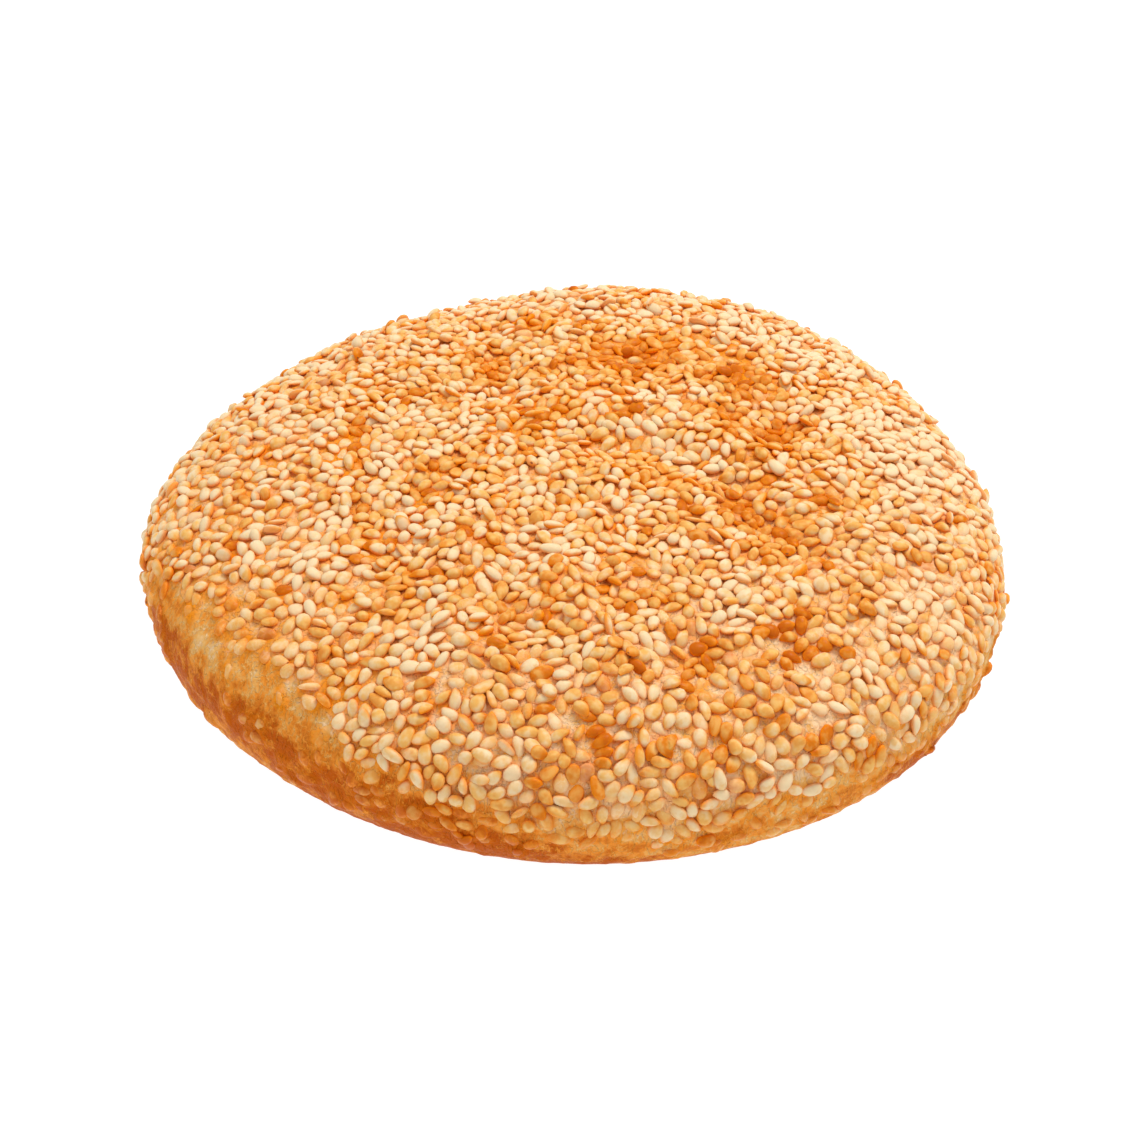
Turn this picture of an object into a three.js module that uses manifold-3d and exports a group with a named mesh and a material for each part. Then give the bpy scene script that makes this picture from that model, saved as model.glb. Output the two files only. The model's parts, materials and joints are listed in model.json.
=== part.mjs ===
// A round flat sesame bread, baked as one piece: a low dome with a dented, creased top, a full
// round side that turns under to a flat base, and sesame seeds pressed into the top and side.
// Millimetres, +Z up. The origin is the middle of the base, and the shown front faces -Y.
import * as THREE from "three";
import { ConvexGeometry } from "three/addons/geometries/ConvexGeometry.js";
import { mergeVertices } from "three/addons/utils/BufferGeometryUtils.js";
import Module from "manifold-3d";

// ---- Driving dimensions -------------------------------------------------------------------

const LOAF = {
  radius: 71.9, // crust at its widest line, without the seeds
  height: 30.3, // base to the middle of the top
  widestHeight: 12, // height of the widest line
  baseRadius: 63, // flat part of the base
};

// How the outline departs from a circle: lobes round the loaf, their height, and where one peaks.
const OUTLINE_LOBES = [
  { lobes: 2, height: 0.2, peak: 45 },
  { lobes: 3, height: 1.7, peak: -48 },
  { lobes: 4, height: 0.35, peak: -12 },
  { lobes: 5, height: 0.25, peak: -28 },
];

// Where the dough of the top sank or rose: round dents, and creases and ridges from one place to
// another. rise is the height at the middle, and reach is how far from it the shape dies away.
const TOP_RELIEF = [
  { from: [33, 10], to: [33, 10], rise: -2.5, reach: 7 },
  { from: [15, -50], to: [19, -51], rise: -1.4, reach: 5 },
  { from: [31, -48], to: [36, -50], rise: -1.2, reach: 5 },
  { from: [-17, 46], to: [-13, 20], rise: -2, reach: 5 },
  { from: [3, 4], to: [21, -3], rise: -1.7, reach: 5 },
  { from: [26, -11], to: [36, -25], rise: -1.8, reach: 5 },
  { from: [10, 33], to: [22, 30], rise: -1.2, reach: 6 },
  { from: [-34, -18], to: [-30, -25], rise: -1.2, reach: 6 },
  { from: [-12, -36], to: [-9, -44], rise: -1.2, reach: 4 },
  { from: [1, 17], to: [27, 3], rise: 1.4, reach: 6 },
  { from: [-2, -33], to: [8, -58], rise: 1.2, reach: 4 },
  { from: [25, -48], to: [32, -62], rise: 1, reach: 4 },
  { from: [-19, -22], to: [-15, -52], rise: 1, reach: 5 },
  { from: [-46, 6], to: [-38, 34], rise: 0.9, reach: 10 },
  { from: [-28, 58], to: [-14, 61], rise: -1.2, reach: 8 },
  { from: [46, 42], to: [55, 31], rise: -0.9, reach: 8 },
];

const SEED = {
  length: 3.3,
  width: 2.1,
  thickness: 1.3,
  sunk: 0.35, // share of the thickness that lies in the crust
  sizeSpread: 0.14, // how far a seed's size departs from the mean, as a share
};

const COVER = {
  seeds: 345, // on the whole top and side, before the side's seeds thin out
  thinsBelow: 19, // height where the seeds start to thin out
  endsAt: 6, // height of the lowest seeds
};

const CRUST_COLOUR = 0xe9b171;
const BALL_DETAIL = 8; // splits each edge of the ball that the crust is shaped from
const BASE_DETAIL = 0.3; // how finely the flat base is divided, where the rest of the crust is 1
const PROFILE_STEPS = 240;
const GOLDEN_ANGLE = Math.PI * (3 - Math.sqrt(5));

// ---- Form of the loaf ---------------------------------------------------------------------

// Half of the loaf's upright section, from the middle of the top round the side to the middle of
// the base. x is the distance from the axis, and y the height.
const section = new THREE.Path()
  .moveTo(0, LOAF.height)
  .bezierCurveTo(
    0.69 * LOAF.radius, LOAF.height,
    1.01 * LOAF.radius, LOAF.height - 2,
    LOAF.radius, LOAF.widestHeight,
  )
  .bezierCurveTo(
    LOAF.radius - 0.5, 0.42 * LOAF.widestHeight,
    LOAF.radius - 3, 0,
    LOAF.baseRadius, 0,
  )
  .lineTo(0, 0);

// The share of the loaf's whole surface that lies above each evenly spaced point of the section,
// with the flat base counted for less than it is.
function surfaceShares() {
  const points = section.getSpacedPoints(PROFILE_STEPS);
  const shares = [0];
  for (let i = 1; i < points.length; i++) {
    const bandRadius = (points[i].x + points[i - 1].x) / 2;
    const detail = points[i - 1].y < 1e-6 ? BASE_DETAIL : 1;
    shares.push(shares[i - 1] + detail * bandRadius * points[i].distanceTo(points[i - 1]));
  }
  return shares.map((share) => share / shares[PROFILE_STEPS]);
}

const SHARES = surfaceShares();

// The point of the section that has the given share of the surface above it.
function sectionPoint(share) {
  const next = SHARES.findIndex((s) => s >= share);
  if (next <= 0) return section.getPointAt(Math.max(next, 0));
  const part = (share - SHARES[next - 1]) / (SHARES[next] - SHARES[next - 1]);
  return section.getPointAt((next - 1 + part) / PROFILE_STEPS);
}

// How much wider than a circle the loaf is in a direction, as a factor.
function outlineFactor(angle) {
  let bulge = 0;
  for (const { lobes, height, peak } of OUTLINE_LOBES)
    bulge += height * Math.cos(lobes * (angle - THREE.MathUtils.degToRad(peak)));
  return 1 + bulge / LOAF.radius;
}

// Height that the dents, creases and ridges add to the top at a place.
function reliefAt(place) {
  let height = 0;
  for (const { from, to, rise, reach } of TOP_RELIEF) {
    const start = new THREE.Vector2(...from);
    const along = new THREE.Vector2(...to).sub(start);
    const offset = place.clone().sub(start);
    const part = THREE.MathUtils.clamp(offset.dot(along) / (along.lengthSq() || 1), 0, 1);
    const distance = offset.distanceTo(along.multiplyScalar(part));
    height += rise * Math.exp(-((distance / reach) ** 2));
  }
  return height;
}

// The crust's point with a given share of the surface above it, in a given direction.
function crustPoint(share, angle) {
  const { x: distance, y: height } = sectionPoint(share);
  const radius = distance * outlineFactor(angle);
  const place = new THREE.Vector2(Math.cos(angle), Math.sin(angle)).multiplyScalar(radius);
  const onTop = THREE.MathUtils.smoothstep(height, LOAF.widestHeight, LOAF.height - 4);
  return new THREE.Vector3(place.x, place.y, height + onTop * reliefAt(place));
}

// Outward direction of the crust, from three of its points close together.
function crustNormal(share, angle) {
  const step = 0.004;
  const point = crustPoint(share, angle);
  const down = crustPoint(share + step, angle).sub(point);
  const round = crustPoint(share, angle + step).sub(point);
  return down.cross(round).normalize();
}

// ---- Solids -------------------------------------------------------------------------------

const wasm = await Module();
wasm.setup();

// A closed three.js geometry as a solid that can be joined to others.
function solidOf(geometry) {
  const shell = geometry.clone();
  shell.deleteAttribute("normal");
  shell.deleteAttribute("uv");
  const merged = mergeVertices(shell, 1e-4);
  return new wasm.Manifold(
    new wasm.Mesh({
      numProp: 3,
      vertProperties: new Float32Array(merged.attributes.position.array),
      triVerts: new Uint32Array(merged.index.array),
    }),
  );
}

// A solid as a three.js geometry again.
function geometryOf(solid) {
  const { vertProperties, triVerts } = solid.getMesh();
  const geometry = new THREE.BufferGeometry()
    .setAttribute("position", new THREE.BufferAttribute(vertProperties, 3))
    .setIndex(new THREE.BufferAttribute(triVerts, 1));
  geometry.computeVertexNormals();
  return geometry;
}

// The crust: an even ball of small triangles, each corner moved to its place on the loaf.
function crustSolid() {
  const ball = new THREE.IcosahedronGeometry(1, BALL_DETAIL);
  const corners = ball.attributes.position;
  for (let i = 0; i < corners.count; i++) {
    const corner = new THREE.Vector3().fromBufferAttribute(corners, i).normalize();
    const point = crustPoint((1 - corner.z) / 2, Math.atan2(corner.y, corner.x));
    corners.setXYZ(i, point.x, point.y, point.z);
  }
  return solidOf(ball);
}

// One sesame seed lying along Y with its point towards +Y: a drop-shaped outline, a ridge along its
// back, and a root that ends inside the crust.
function seedGeometry() {
  const { length, width, thickness } = SEED;
  const corner = (x, y, z) => new THREE.Vector3(x * width, y * length, z * thickness);
  const flanks = [-1, 1].flatMap((side) => [
    corner(side * 0.44, 0.1, 0),
    corner(side * 0.41, -0.3, 0),
  ]);
  const ends = [corner(0, 0.5, 0), corner(0, -0.5, 0)];
  const ridge = [corner(0, 0.14, 0.5), corner(0, -0.24, 0.5)];
  const root = corner(0, -0.06, -0.95);
  return new ConvexGeometry([...flanks, ...ends, ...ridge, root]);
}

// Numbers from 0 to 1 that look random and are the same on every run.
function seededRandom(state) {
  return () => {
    state = (state + 0x6d2b79f5) | 0;
    let t = Math.imul(state ^ (state >>> 15), 1 | state);
    t = (t + Math.imul(t ^ (t >>> 7), 61 | t)) ^ t;
    return ((t ^ (t >>> 14)) >>> 0) / 4294967296;
  };
}

// Seeds all over the top and side, evenly spread by a golden-angle spiral, each turned its own way
// and sunk into the crust. Down the side they thin out.
function seedSolids() {
  const random = seededRandom(7);
  const shape = seedGeometry();
  const lowestShare = SHARES.findLast((share) => sectionPoint(share).y > COVER.endsAt);
  const seeds = [];
  for (let i = 0; i < COVER.seeds; i++) {
    const share = (lowestShare * (i + 0.5)) / COVER.seeds;
    const angle = i * GOLDEN_ANGLE;
    const [turn, size, chance] = [random() * 2 * Math.PI, random() * 2 - 1, random()];
    const point = crustPoint(share, angle);
    if (chance > THREE.MathUtils.smoothstep(point.z, COVER.endsAt - 4, COVER.thinsBelow)) continue;
    const normal = crustNormal(share, angle);
    point.addScaledVector(normal, (0.5 - SEED.sunk) * SEED.thickness);
    const lie = new THREE.Quaternion().setFromUnitVectors(new THREE.Vector3(0, 0, 1), normal);
    lie.multiply(new THREE.Quaternion().setFromAxisAngle(new THREE.Vector3(0, 0, 1), turn));
    const scale = new THREE.Vector3().setScalar(1 + size * SEED.sizeSpread);
    seeds.push(solidOf(shape.clone().applyMatrix4(new THREE.Matrix4().compose(point, lie, scale))));
  }
  return seeds;
}

// ---- The part -----------------------------------------------------------------------------

const bread = new THREE.Mesh(
  geometryOf(wasm.Manifold.union([crustSolid(), ...seedSolids()])),
  new THREE.MeshStandardMaterial({ color: CRUST_COLOUR, roughness: 0.75, metalness: 0 }),
);
bread.name = "bread";

const part = new THREE.Group();
part.name = "sesame_bread";
part.add(bread);

export default part;
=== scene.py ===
"""A round flat sesame bread on a pale floor: the loaf, its crust and about 3,700 seeds.

Lengths are in metres, +Z is up, the middle of the flat base is the origin, and the shown front
faces -Y. The sizes of the loaf and its dents are those of the solid model.
"""

import json
import math

import bpy
import numpy as np
from bpy.props import FloatProperty, FloatVectorProperty, IntProperty, PointerProperty
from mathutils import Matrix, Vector, noise
from mathutils.bvhtree import BVHTree
from mathutils.geometry import interpolate_bezier
from mathutils.kdtree import KDTree

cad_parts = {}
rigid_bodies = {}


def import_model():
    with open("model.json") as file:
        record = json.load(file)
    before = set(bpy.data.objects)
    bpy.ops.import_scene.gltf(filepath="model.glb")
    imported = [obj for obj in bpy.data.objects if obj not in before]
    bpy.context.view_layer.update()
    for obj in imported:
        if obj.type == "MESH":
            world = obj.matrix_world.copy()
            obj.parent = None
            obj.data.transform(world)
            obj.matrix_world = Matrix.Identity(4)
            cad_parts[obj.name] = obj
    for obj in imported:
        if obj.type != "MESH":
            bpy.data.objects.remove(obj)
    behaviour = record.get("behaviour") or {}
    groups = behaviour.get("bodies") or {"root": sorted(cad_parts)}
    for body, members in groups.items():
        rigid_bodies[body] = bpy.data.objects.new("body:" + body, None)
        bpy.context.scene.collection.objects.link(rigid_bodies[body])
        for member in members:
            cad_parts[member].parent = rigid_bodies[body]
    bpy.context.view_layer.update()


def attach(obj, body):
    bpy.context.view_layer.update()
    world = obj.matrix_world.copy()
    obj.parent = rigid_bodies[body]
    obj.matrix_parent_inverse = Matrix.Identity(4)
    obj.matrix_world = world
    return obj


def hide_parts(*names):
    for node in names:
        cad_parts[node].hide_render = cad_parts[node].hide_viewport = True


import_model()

bl_info = {
    "name": "Sesame Bread",
    "version": (1, 0, 0),
    "blender": (4, 5, 0),
    "location": "View3D > Sidebar > Sesame Bread",
    "description": "A round flat sesame bread with a baked crust and separate seeds",
    "category": "Add Mesh",
}

MM = 0.001
GOLDEN_ANGLE = math.pi * (3 - math.sqrt(5))
BREAD_NODE = "bread"
LOAF_BODY = "root"
# Places on the axis that the camera and the lights look at.
CAMERA_AIM = Vector((0, 0, 15.5 * MM))
LIGHTS_AIM = Vector((0, 0, 15 * MM))
# Steps of the loaf's section over the top, and corners of its outline, before its mesh is evened.
SECTION_STEPS = 40
OUTLINE_CORNERS = 192
# How light spreads under the surface of the crust and the seeds.
TRANSLUCENCY = {"Subsurface Radius": (1.0, 0.8, 0.6), "Subsurface Scale": 0.35 * MM}

# ---- Form of the loaf ----

# How the outline departs from a circle: lobes round the loaf, their height in mm, and the angle
# in degrees where one of them peaks.
OUTLINE_LOBES = (
    (2, 0.2, 45),
    (3, 1.7, -48),
    (4, 0.35, -12),
    (5, 0.25, -28),
)

# Where the dough of the top sank or rose, in mm: from one place to another, the rise at the
# middle, and how far from it the shape dies away.
TOP_RELIEF = (
    ((33, 10), (33, 10), -2.5, 7),
    ((15, -50), (19, -51), -1.4, 5),
    ((31, -48), (36, -50), -1.2, 5),
    ((-17, 46), (-13, 20), -2, 5),
    ((3, 4), (21, -3), -1.7, 5),
    ((26, -11), (36, -25), -1.8, 5),
    ((10, 33), (22, 30), -1.2, 6),
    ((-34, -18), (-30, -25), -1.2, 6),
    ((-12, -36), (-9, -44), -1.2, 4),
    ((1, 17), (27, 3), 1.4, 6),
    ((-2, -33), (8, -58), 1.2, 4),
    ((25, -48), (32, -62), 1, 4),
    ((-19, -22), (-15, -52), 1, 5),
    ((-46, 6), (-38, 34), 0.9, 10),
    ((-28, 58), (-14, 61), -1.2, 8),
    ((46, 42), (55, 31), -0.9, 8),
)

# Where the top is darker (or, below zero, paler) than elsewhere, from toast and, in the dents,
# from painted shade: place in mm, how far it reaches, and how strongly.
TOAST_AND_SHADE_PATCHES = (
    (33, 7, 6, 0.75),
    (29, 25, 8, 0.5),
    (23, 11, 5, 0.3),
    (43, 5, 4, 0.3),
    (4, 30, 12, 0.35),
    (-17, 30, 6, 0.4),
    (-9, 46, 4, 0.35),
    (18, 35, 9, 0.25),
    (-8, 10, 9, 0.2),
    (5, -3, 6, 0.3),
    (13, -8, 5, 0.25),
    (27, -14, 6, 0.4),
    (34, -22, 7, 0.25),
    (40, -9, 4, 0.25),
    (42, -36, 7, 0.2),
    (31, -48, 6, 0.35),
    (17, -52, 4, 0.5),
    (21, -60, 6, 0.3),
    (-34, -51, 4, 0.4),
    (-31, -38, 4, 0.2),
    (-33, -23, 4, 0.3),
    (-22, -8, 9, 0.12),
    (-40, 2, 10, 0.08),
    (-31, 20, 9, 0.12),
    (-10, -41, 6, 0.2),
    (-55, -33, 6, 0.35),
    (0, -63, 5, 0.25),
    (-6, -60, 22, 0.1),
    (24, -46, 13, 0.05),
    (-4, -17, 4, 0.2),
    (-23, -47, 6, -0.25),
    (-46, -25, 8, -0.22),
    (3, 12, 6, -0.15),
    (-4, 57, 14, -0.2),
    (38, 42, 14, -0.25),
    (58, 5, 13, -0.65),
    (-55, 8, 12, -0.1),
    (21, -42, 5, -0.15),
    (35, -5, 4, -0.15),
)

# Where the oven browned the side more (or, below zero, less): direction in degrees and height in
# mm of the middle, how far it reaches in degrees and mm, and how strongly.
BROWNED_ZONES = (
    (-172, 21, 14, 6, 0.02),
    (-158, 15, 9, 6, 0.4),
    (-147, 15, 17, 9, 0.36),
    (-146, 19.5, 5, 2.5, -0.1),
    (-133, 15, 10, 6, 0.33),
    (-116, 11, 14, 8, 0.55),
    (-110, 4, 14, 8, 0.95),
    (-92, 2, 12, 4, 0.8),
    (-68, 9, 12, 5, 0.1),
    (-43, 6, 11, 5, 0.4),
    (-25, 7, 13, 5, 0.2),
    (-2, 8, 12, 6, 0.15),
    (60, 7, 25, 6, 0.2),
    (110, 9, 20, 5, 0.1),
    (170, 8, 30, 6, 0.1),
)

# Where the side is bare of seeds: direction in degrees of the middle, how far the bare band
# reaches each way, and the height in mm of the lowest seeds over it.
BARE_BANDS = (
    (-141, 26, 21),
    (-34, 17, 13),
)

# The side of the top that the oven left paler, as a direction.
PALE_SIDE = np.array([0.62, -0.78, 0.0])


def smoothstep(value, low, high):
    """0 below low, 1 above high, and a smooth rise between them."""
    part = np.clip((value - low) / (high - low), 0, 1)
    return part * part * (3 - 2 * part)


def outline_factor(angle, radius):
    """How much wider than a circle the loaf is in a direction, as a factor."""
    bulge = sum(
        height * MM * np.cos(lobes * (angle - math.radians(peak)))
        for lobes, height, peak in OUTLINE_LOBES
    )
    return 1 + bulge / radius


def turn_from(middle, angle):
    """The shortest turn from one direction to others, all in degrees."""
    return (angle - middle + 180) % 360 - 180


def relief_at(x, y):
    """Height that the dents, creases and ridges add to the top at a place."""
    place = np.stack([x, y], -1) / MM
    height = np.zeros(len(place))
    for start, end, rise, reach in TOP_RELIEF:
        start = np.array(start, float)
        along = np.array(end, float) - start
        offset = place - start
        part = np.clip(offset @ along / (along @ along or 1), 0, 1)
        distance = np.linalg.norm(offset - part[:, None] * along, axis=1)
        height += rise * np.exp(-((distance / reach) ** 2))
    return height * MM


def toast_and_shade_at(places):
    """How much darker the top is at places in metres than on average: toast, and in the dents
    painted shade.
    """
    x, y, _ = places.T / MM
    toast = np.zeros(len(places))
    for patch_x, patch_y, reach, strength in TOAST_AND_SHADE_PATCHES:
        distance = np.hypot(x - patch_x, y - patch_y)
        toast += strength * np.exp(-((distance / reach) ** 2))
    return toast


def paleness_at(places):
    """How far places in metres belong to the pale side of the top, from 0 to 1."""
    return smoothstep(places @ PALE_SIDE, 12 * MM, 50 * MM)


def browned_at(places):
    """How far the oven browned the crust at places in metres, from 0 to 1."""
    angle = np.degrees(np.arctan2(places[:, 1], places[:, 0]))
    height = places[:, 2] / MM
    browned = 0.14 - 0.12 * paleness_at(places)
    # On the top, the darker patches (toast, and in the dents painted shade) darken the crust too.
    browned += 0.4 * toast_and_shade_at(places) * smoothstep(height, 18, 26)
    browned += 0.42 * (1 - smoothstep(height, 8, 22))
    for middle, level, reach, rise, strength in BROWNED_ZONES:
        turn = turn_from(middle, angle)
        browned += strength * np.exp(-((turn / reach) ** 2) - ((height - level) / rise) ** 2)
    browned += 0.3 * (1 - smoothstep(height, 0, 5))
    return browned.clip(0, 1)


def clouds_at(places, size):
    """Soft random variation between about -1 and 1, with features of about the given size."""
    return np.array([noise.noise(Vector(place) / size) for place in places])


def oil_and_shade_strength_at(places):
    """How strongly the orange of oil and painted shade colours the crust close round the seeds and
    the seeds' flanks at places, from 0 to 1.
    """
    oil_and_shade_strength = 0.8 + 0.5 * toast_and_shade_at(places) + 0.6 * clouds_at(places, 7 * MM)
    rim = smoothstep(np.hypot(places[:, 0], places[:, 1]), 40 * MM, 60 * MM)
    return (oil_and_shade_strength - 0.1 * rim - 0.1 * paleness_at(places)).clip(0.7, 1)


def section_points(loaf, steps):
    """Half of the loaf's upright section as (distance from the axis, height), from the middle
    of the top round the side to the rim of the base."""
    top = [
        (0, loaf.height),
        (0.69 * loaf.radius, loaf.height),
        (1.01 * loaf.radius, loaf.height - 2 * MM),
        (loaf.radius, loaf.widest_height),
    ]
    side = [
        top[-1],
        (loaf.radius - 0.5 * MM, 0.42 * loaf.widest_height),
        (loaf.radius - 3 * MM, 0),
        (loaf.base_radius, 0),
    ]
    points = interpolate_bezier(*top, steps) + interpolate_bezier(*side, steps // 2)[1:]
    return [tuple(point) for point in points]


# ---- Modelling helpers ----


def nearby_tree(places):
    """A tree of places, ready to find those near another place."""
    tree = KDTree(len(places))
    for number, place in enumerate(places):
        tree.insert(place, number)
    tree.balance()
    return tree


def face_outwards():
    """Turns every face of the piece being edited outwards, and leaves edit mode."""
    bpy.ops.mesh.select_all(action="SELECT")
    bpy.ops.mesh.normals_make_consistent(inside=False)
    bpy.ops.object.mode_set(mode="OBJECT")


def deselect_all():
    """Leaves nothing selected, whatever the frame or the last step left selected."""
    bpy.ops.object.select_all(action="DESELECT")


def select_only(piece):
    deselect_all()
    piece.select_set(True)
    bpy.context.view_layer.objects.active = piece


def apply_modifier(piece, kind, **settings):
    """Adds a modifier with the given settings to a piece and applies it."""
    select_only(piece)
    bpy.ops.object.modifier_add(type=kind)
    modifier = piece.modifiers[-1]
    for name, value in settings.items():
        setattr(modifier, name, value)
    bpy.ops.object.modifier_apply(modifier=modifier.name)


def select_corners(piece, chosen):
    """Enters edit mode with just the chosen vertices selected."""
    select_only(piece)
    bpy.ops.object.mode_set(mode="EDIT")
    bpy.ops.mesh.select_mode(type="VERT")
    bpy.ops.mesh.select_all(action="DESELECT")
    bpy.ops.object.mode_set(mode="OBJECT")
    piece.data.vertices.foreach_set("select", chosen)
    bpy.ops.object.mode_set(mode="EDIT")


def corners_of(piece, key="co"):
    """The places of the piece's vertices or, with the key "normal", their outward directions."""
    vectors = np.empty(3 * len(piece.data.vertices), np.float32)
    piece.data.vertices.foreach_get(key, vectors)
    return vectors.reshape(-1, 3).astype(float)


def move_corners(piece, places):
    piece.data.vertices.foreach_set("co", places.astype(np.float32).ravel())
    piece.data.update()


def store(piece, name, values):
    """Keeps a value for each vertex of a piece under a name, for its material or modifiers."""
    whole = np.issubdtype(values.dtype, np.integer)
    if values.ndim == 2:
        kind, key = "FLOAT_VECTOR", "vector"
    else:
        kind, key = "INT" if whole else "FLOAT", "value"
    attribute = piece.data.attributes.new(name, kind, "POINT")
    number = np.int32 if whole else np.float32
    attribute.data.foreach_set(key, np.ascontiguousarray(values, number).ravel())


def finish_piece(piece, material):
    """Gives a finished piece its material and the body that it moves with."""
    piece.data.materials.clear()
    piece.data.materials.append(material)
    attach(piece, LOAF_BODY)


# ---- Node helpers ----


class Nodes:
    """A node tree that grows call by call."""

    def __init__(self, tree):
        self.tree = tree

    def set(self, node, inputs):
        """Sets a node's inputs to values, or links them to sockets."""
        for name, value in inputs.items():
            socket = node.inputs[name]
            if isinstance(value, bpy.types.NodeSocket):
                self.tree.links.new(value, socket)
            else:
                socket.default_value = value

    def add(self, kind, inputs=None, **settings):
        """Adds a node, sets it up, and sets or links its inputs."""
        node = self.tree.nodes.new(kind)
        for name, value in settings.items():
            setattr(node, name, value)
        self.set(node, inputs or {})
        return node

    def math(self, operation, *values):
        """A number worked out from numbers and sockets."""
        inputs = dict(enumerate(values))
        return self.add("ShaderNodeMath", inputs, operation=operation).outputs[0]

    def range(self, value, low, high, to_low=0.0, to_high=1.0):
        """Moves a value from one range to another, smoothly and without leaving it."""
        inputs = {"Value": value, 1: low, 2: high, 3: to_low, 4: to_high}
        node = self.add("ShaderNodeMapRange", inputs, interpolation_type="SMOOTHSTEP")
        return node.outputs["Result"]


class MaterialNodes(Nodes):
    """The nodes of a new material."""

    def __init__(self, name):
        self.material = bpy.data.materials.new(name)
        self.material.use_nodes = True
        super().__init__(self.material.node_tree)
        self.coordinates = self.add("ShaderNodeTexCoord").outputs["Object"]

    def surface(self, inputs):
        """Sets or links the surface's inputs."""
        self.set(self.tree.nodes["Principled BSDF"], inputs)

    def kept(self, name):
        """The value that a piece keeps for each vertex under a name."""
        return self.add("ShaderNodeAttribute", attribute_name=name).outputs["Fac"]

    def clouds(self, size, detail=2, roughness=0.5, coordinates=None):
        """Soft random variation from 0 to 1, with features of about the given size."""
        if coordinates is None:
            coordinates = self.coordinates
        inputs = {"Vector": coordinates, "Scale": 1 / size, "Detail": detail}
        inputs["Roughness"] = roughness
        return self.add("ShaderNodeTexNoise", inputs).outputs["Fac"]

    def mix(self, share, first, second):
        """Mixes a colour with a second one, which may be a fixed colour."""
        if not isinstance(second, bpy.types.NodeSocket):
            second = (*second, 1)
        inputs = {0: share, 6: first, 7: second}
        return self.add("ShaderNodeMix", inputs, data_type="RGBA").outputs[2]

    def ramp(self, value, *stops):
        """A colour from (place, colour) stops."""
        node = self.add("ShaderNodeValToRGB", {"Fac": value})
        elements = node.color_ramp.elements
        while len(elements) < len(stops):
            elements.new(1)
        for element, (place, colour) in zip(elements, stops):
            element.position = place
            element.color = (*colour, 1)
        return node.outputs["Color"]

    def bump(self, height, depth, normal=None):
        """Fine relief of the given depth in metres, over that of an earlier normal."""
        inputs = {"Height": height, "Strength": 1.0, "Distance": depth}
        if normal is not None:
            inputs["Normal"] = normal
        return self.add("ShaderNodeBump", inputs).outputs["Normal"]


# ---- Properties ----


def length_property(name, description, default):
    """A length in metres that the user can change."""
    return FloatProperty(
        name=name, description=description, default=default, subtype="DISTANCE", unit="LENGTH"
    )


def share_property(name, description, default):
    """A share that the user can change."""
    return FloatProperty(name=name, description=description, default=default, subtype="FACTOR")


def colour_property(name, description, default):
    """A colour that the user can change."""
    return FloatVectorProperty(
        name=name, description=description, default=default, subtype="COLOR", size=3, min=0, max=1
    )


class LoafSizes(bpy.types.PropertyGroup):
    radius: length_property("Radius", "Radius of the bare crust at its widest", 71.9 * MM)
    height: length_property("Height", "Height of the middle of the top over the base", 30.3 * MM)
    widest_height: length_property("Widest Height", "Height of the widest line", 12 * MM)
    base_radius: length_property("Base Radius", "Radius of the flat part of the base", 63 * MM)
    mesh_step: length_property("Mesh Step", "Edge length of the crust's faces", 0.71 * MM)
    puff: length_property(
        "Puff", "How far the dough rises round the seeds from its level between them", 0.3 * MM
    )
    blistering: length_property(
        "Blistering", "Height of the small blisters and wrinkles of the bare side", 0.3 * MM
    )


class SeedSizes(bpy.types.PropertyGroup):
    length: length_property("Length", "Mean length of a seed", 3.3 * MM)
    width: length_property("Width", "Mean width of a seed", 2.15 * MM)
    thickness: length_property("Thickness", "Mean thickness of a seed", 1.35 * MM)
    spacing: length_property(
        "Spacing", "Side of the square of crust that each seed has where they are dense", 2.27 * MM
    )
    size_spread: share_property("Size Spread", "How far seeds depart from the mean size", 0.1)
    sunk: share_property("Sunk", "Share of a seed's thickness that lies in the crust", 0.27)
    thins_below: length_property("Thins Below", "Height where the seeds start to thin out", 19 * MM)
    rim_share: share_property("Rim Share", "How dense the seeds are on the top's rim", 0.92)
    lowest: length_property("Lowest", "Height of the lowest seeds on the side", 5 * MM)
    loosening: IntProperty(
        name="Loosening",
        description="Steps that push overlapping seeds apart: with fewer, more lie on each other",
        default=12,
    )
    strays: share_property("Strays", "Share of the seeds that are left low on the side", 0.42)
    loose: share_property("Loose", "Share of the seeds that lie on top of the others", 0.11)
    caught: share_property("Caught", "Share of the seeds on top that dough half covers", 0.11)
    draw: IntProperty(
        name="Draw", description="Number that picks another random arrangement", default=7
    )


class BakeColours(bpy.types.PropertyGroup):
    crust_pale: colour_property(
        "Pale Crust", "Crust where it stayed palest, between the seeds", (0.95, 0.655, 0.375)
    )
    crust_golden: colour_property("Golden Crust", "Lightly baked crust", (0.87, 0.465, 0.13))
    crust_baked: colour_property("Baked Crust", "Crust of most of the side", (0.88, 0.30, 0.035))
    # Orange of oil and painted shade: the crust close round the seeds and the seeds' lower flanks,
    # where shade falls in the crevices.
    crust_oil_and_shade: colour_property(
        "Oil And Shade Crust", "Crust close round the seeds, and the seeds' flanks", (0.92, 0.275, 0.003)
    )
    crust_browned: colour_property(
        "Browned Crust", "Crust of the browned band and the base", (0.55, 0.108, 0.005)
    )
    seed_ivory: colour_property("Ivory Seed", "The palest seeds", (0.87, 0.67, 0.402))
    seed_golden: colour_property("Golden Seed", "Lightly toasted seeds", (0.84, 0.47, 0.125))
    seed_toasted: colour_property("Toasted Seed", "Well toasted seeds", (0.73, 0.21, 0.009))
    seed_dark: colour_property("Dark Seed", "The darkest seeds and tips", (0.60, 0.135, 0.004))
    scar: colour_property("Seed Scar", "The dot at the point of a seed", (0.42, 0.14, 0.04))


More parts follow.
